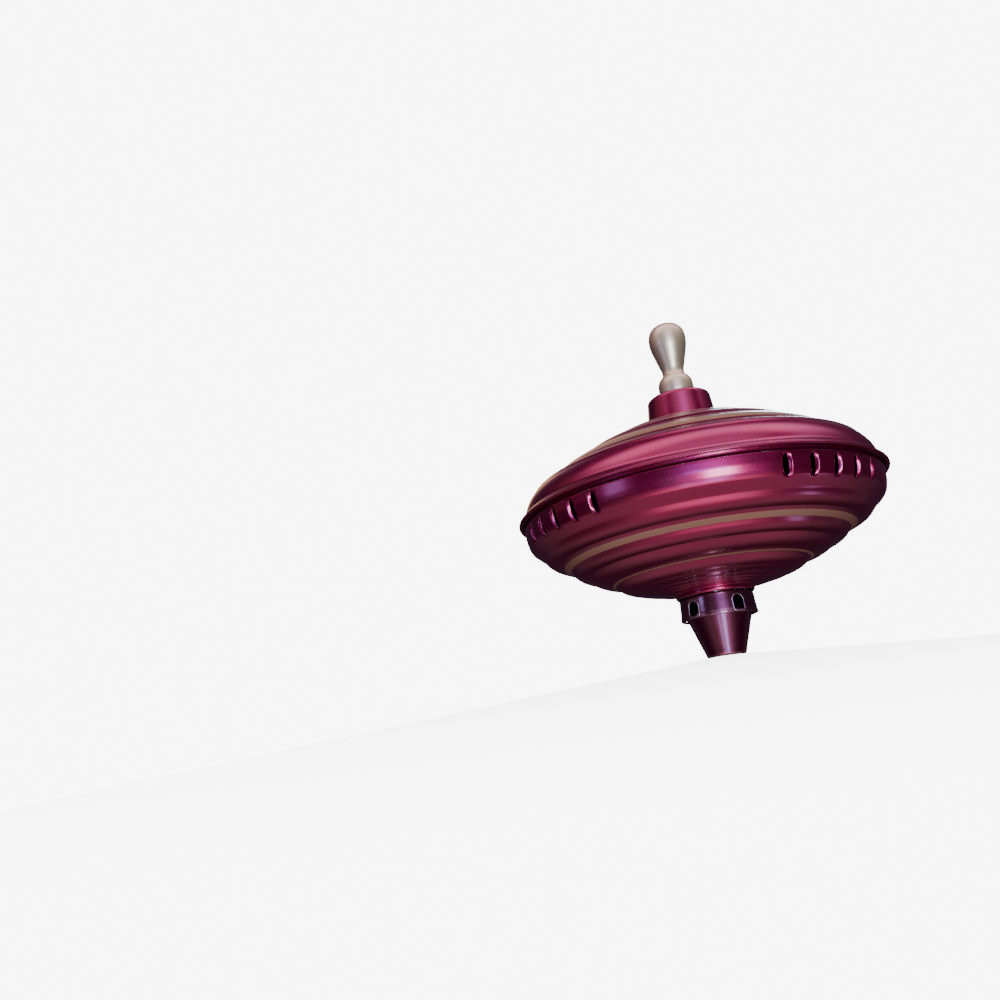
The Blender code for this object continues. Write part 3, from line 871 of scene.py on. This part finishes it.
class TOP_OT_handle(bpy.types.Operator):
    """Mould the knob and twist the rod"""

    bl_idname = "tin_top.handle"
    bl_label = "Knob and Rod"

    def execute(self, context):
        sizes = context.scene.top_sizes
        line = thinned(spaced(rounded(KNOB), 0.1), 0.01, 0.9)
        mesh = turned("knob_mesh", [(r * MM, z * MM) for r, z in line], KNOB_Z, sizes.steps // 2)
        knob = place_piece("knob_moulded", mesh, "handle", ("champagne",), ("knob",))
        crisp(knob, 50)
        low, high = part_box("drive_rod")
        self.rod(sizes, low.z, high.z)
        return {"FINISHED"}

    def rod(self, sizes, bottom, top):
        """Flat bar with rolled edges, twisted right-handed, on the tenon that its stop is riveted to."""
        tenon, tenon_radius, step = 4.0 * MM, 1.1 * MM, 0.45 * MM
        # The top end narrows to this share of the section over the height of its chamfer.
        end_share, start = 0.86, top - 0.3 * MM
        half_width, half_depth, corner = sizes.rod_width / 2, sizes.rod_thickness / 2, 0.45 * MM
        section = []
        for cx, cy, first in ((1, 1, 0), (-1, 1, 90), (-1, -1, 180), (1, -1, 270)):
            for k in range(4):
                a = math.radians(first + 30 * k)
                x = cx * (half_width - corner) + corner * math.cos(a)
                section.append((x, cy * (half_depth - corner) + corner * math.sin(a)))
        rows = [(top, 0.0), (top, end_share)]
        count = int((top - bottom - tenon) / step)
        rows += [(start - (start - bottom - tenon) * k / count, 1.0) for k in range(count + 1)]
        points = []
        for height, scale in rows:
            twist = math.tau * height / sizes.rod_pitch
            c, s = math.cos(twist) * scale, math.sin(twist) * scale
            points.append([(x * c - y * s, x * s + y * c, height) for x, y in section])
        twist = math.tau * (bottom + tenon) / sizes.rod_pitch
        ends = [a + twist for a in around(len(section))]
        for radius, height in ((tenon_radius, bottom + tenon), (tenon_radius, bottom), (0.0, bottom)):
            points.append([(radius * math.cos(a), radius * math.sin(a), height) for a in ends])
        mesh = skin("twisted_rod", points)
        rod = place_piece("drive_rod_twisted", mesh, "handle", ("steel",), ("drive_rod",))
        crisp(rod)


class TOP_OT_works(bpy.types.Operator):
    """Give the inner parts their metals: clutch, nut, tube, pivot, reeds and rivets"""

    bl_idname = "tin_top.works"
    bl_label = "Inner Works"

    def execute(self, context):
        finishes = {
            "pivot_bearing": "brass", "foot_retainer": "tin", "pivot_pin": "steel", "centre_tube": "tin",
            "clutch_plate": "steel", "nut_cage": "tin", "drive_nut": "steel", "rod_stop": "steel",
            "reed_plate": "tin",
        }
        # There is one reed, on one rivet, for each window.
        for number in range(1, WINDOWS + 1):
            finishes[f"reed_{number}"] = "brass"
            finishes[f"reed_rivet_{number}"] = "tin"
        for name, finish in finishes.items():
            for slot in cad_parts[name].material_slots:
                slot.link = "OBJECT"
                slot.material = finish_named(finish)
        return {"FINISHED"}


class TOP_OT_stage(bpy.types.Operator):
    """Lay the pale floor, hang the backdrop, and set the soft boxes and the camera"""

    bl_idname = "tin_top.stage"
    bl_label = "Stage"

    floor_slope: bpy.props.FloatProperty(
        name="Floor slope", description="Fall of the floor away from the foot", default=math.radians(5.6),
        subtype="ANGLE",
    )
    floor_radius: length_property("Floor radius", "Size of the floor", 3.0)
    backdrop_radius: length_property("Backdrop radius", "Size of the backdrop", 3.4)
    glow: bpy.props.FloatProperty(name="Glow", description="Light of the backdrop", default=9.0, min=0.0)

    def execute(self, context):
        self.paper()
        self.lights(context)
        self.camera(context)
        return {"FINISHED"}

    def paper(self):
        """Floor with a flat spot under the foot; it fades towards the backdrop, which leaves a faint horizon.

        The paper only has to look lit. The top's light comes from the room's soft boxes and the lamp instead.
        """
        colours = bpy.context.scene.top_colours
        spot, gap = 10 * MM, 0.05 * MM
        radii = [0.0, spot, 30 * MM, 80 * MM, 160 * MM, 0.4, 1.0, self.floor_radius]
        fall = math.tan(self.floor_slope)
        rows = [(r, -gap - max(0.0, r - spot) * fall) for r in radii]
        floor = bpy.data.objects.new("floor", turned("floor_mesh", rows, 0.0, 128))
        material, tree = new_material("matt_paper_floor")
        place = node(tree, COORDINATES).outputs["Object"]
        away = node(tree, VECTOR_MATH, {0: place}, operation="LENGTH").outputs["Value"]
        fades = {0: away, 1: 0.08, 2: 0.42, 3: 0.6, 4: 1.0}
        fade = node(tree, RANGE, fades, interpolation_type="SMOOTHSTEP").outputs[0]
        matt = node(tree, "ShaderNodeBsdfDiffuse", {0: opaque(colours.paper)}).outputs[0]
        glowing = {0: opaque(colours.paper), 1: self.glow}
        lit = node(tree, "ShaderNodeEmission", glowing).outputs[0]
        finish_material(tree, node(tree, "ShaderNodeMixShader", {0: fade, 1: matt, 2: lit}).outputs[0])
        material.cycles.emission_sampling = "NONE"
        floor.data.materials.append(material)
        floor.visible_glossy = False
        floor.visible_diffuse = False
        floor.visible_shadow = False

        size, slopes = self.backdrop_radius, [math.pi * k / 24 for k in range(25)]
        rows = [(size * math.sin(a), size * math.cos(a)) for a in slopes]
        dome = bpy.data.objects.new("backdrop", turned("backdrop_mesh", rows, 0.0, 128))
        material, tree = new_material("lit_paper_backdrop")
        finish_material(tree, node(tree, "ShaderNodeEmission", glowing).outputs[0])
        material.cycles.emission_sampling = "NONE"
        dome.data.materials.append(material)
        for ray in ("diffuse", "glossy", "transmission", "volume_scatter", "shadow"):
            setattr(dome, "visible_" + ray, False)
        for obj in (floor, dome):
            bpy.context.scene.collection.objects.link(obj)

    def lights(self, context):
        """Dim room with soft boxes painted on its walls, and one lamp that gives the floor a soft shadow."""
        world = bpy.data.worlds.new("dim_room")
        world.use_nodes = True
        tree = world.node_tree
        tree.nodes.clear()
        way = node(tree, COORDINATES).outputs["Generated"]
        up = node(tree, "ShaderNodeSeparateXYZ", {0: way}).outputs[2]
        mix = node(tree, RANGE, {0: up, 1: -0.6, 2: 0.7}, interpolation_type="SMOOTHSTEP").outputs[0]
        total = node(
            tree, MIX, {0: mix, 6: opaque(linear(ROOM_BELOW)), 7: opaque(linear(ROOM_ABOVE))},
            data_type="RGBA",
        ).outputs[2]
        for box in SOFT_BOXES:
            total = self.soft_box(tree, way, total, *box)
        light = node(tree, "ShaderNodeBackground", {0: total}).outputs[0]
        node(tree, "ShaderNodeOutputWorld", {"Surface": light})
        lamp = bpy.data.lights.new("floor_lamp", "AREA")
        lamp.size = LAMP_SIZE
        lamp.energy = LAMP_POWER
        lamp_object = bpy.data.objects.new("floor_lamp", lamp)
        lamp_object.location = LAMP_PLACE
        lamp_object.rotation_euler = Vector(lamp_object.location).to_track_quat("Z", "Y").to_euler()
        lamp_object.visible_camera = False
        lamp_object.visible_glossy = False
        context.scene.collection.objects.link(lamp_object)
        context.scene.world = world

    def soft_box(self, tree, way, total, azimuth, elevation, width, height, soft, brightness, colour):
        """Add one soft-edged rectangle of light, square to its own direction."""
        a, e = math.radians(azimuth), math.radians(elevation)
        ahead = (math.cos(a) * math.cos(e), math.sin(a) * math.cos(e), math.sin(e))
        across = (-math.sin(a), math.cos(a), 0.0)
        upward = (-math.cos(a) * math.sin(e), -math.sin(a) * math.sin(e), math.cos(e))
        facing = node(tree, VECTOR_MATH, {0: way, 1: ahead}, operation="DOT_PRODUCT").outputs["Value"]
        light = node(tree, RANGE, {0: facing, 1: 0.0, 2: 0.1}).outputs[0]
        for axis, size in ((across, width), (upward, height)):
            reach = node(tree, VECTOR_MATH, {0: way, 1: axis}, operation="DOT_PRODUCT").outputs["Value"]
            reach = node(tree, MATH, {0: reach}, operation="ABSOLUTE").outputs[0]
            edge = math.sin(math.radians(size / 2))
            share = node(
                tree, RANGE, {0: reach, 1: edge - soft, 2: edge + soft, 3: 1.0, 4: 0.0},
                interpolation_type="SMOOTHSTEP",
            ).outputs[0]
            light = node(tree, MATH, {0: light, 1: share}, operation="MULTIPLY").outputs[0]
        glow = tuple(c * brightness for c in linear(colour))
        lit = node(tree, VECTOR_MATH, {0: glow, "Scale": light}, operation="SCALE").outputs[0]
        return node(tree, VECTOR_MATH, {0: total, 1: lit}, operation="ADD").outputs[0]

    def camera(self, context):
        """Camera a little below the level of the foot, looking up at the lower shell."""
        data = bpy.data.cameras.new("camera")
        data.lens = CAMERA_LENS
        data.sensor_width = 36.0
        data.clip_start, data.clip_end = 0.01, 20.0
        camera = bpy.data.objects.new("camera", data)
        camera.location = CAMERA_PLACE
        camera.rotation_euler = CAMERA_TURN
        context.scene.collection.objects.link(camera)
        context.scene.camera = camera


class TOP_PT_panel(bpy.types.Panel):
    """Sizes, colours and steps of the tin top"""

    bl_idname = "TOP_PT_panel"
    bl_label = "Tin Top"
    bl_space_type = "VIEW_3D"
    bl_region_type = "UI"
    bl_category = "Tin Top"

    def draw(self, context):
        for group in (context.scene.top_sizes, context.scene.top_colours):
            box = self.layout.box()
            for name in group.__annotations__:
                box.prop(group, name)
        for operator in OPERATORS:
            self.layout.operator(operator.bl_idname)


OPERATORS = (
    TOP_OT_stage, TOP_OT_lower_shell, TOP_OT_upper_shell, TOP_OT_collar, TOP_OT_air_ring, TOP_OT_foot,
    TOP_OT_handle, TOP_OT_works,
)
CLASSES = (TopSizes, TopColours, *OPERATORS, TOP_PT_panel)


def register():
    """Register the classes and hang the settings on the scene."""
    for cls in CLASSES:
        bpy.utils.register_class(cls)
    bpy.types.Scene.top_sizes = bpy.props.PointerProperty(type=TopSizes)
    bpy.types.Scene.top_colours = bpy.props.PointerProperty(type=TopColours)


def unregister():
    """Undo register."""
    del bpy.types.Scene.top_colours
    del bpy.types.Scene.top_sizes
    for cls in reversed(CLASSES):
        bpy.utils.unregister_class(cls)


def main():
    """Build the top and its stage."""
    register()
    for operator in OPERATORS:
        getattr(bpy.ops.tin_top, operator.bl_idname.split(".")[1])()


if __name__ == "__main__":
    main()
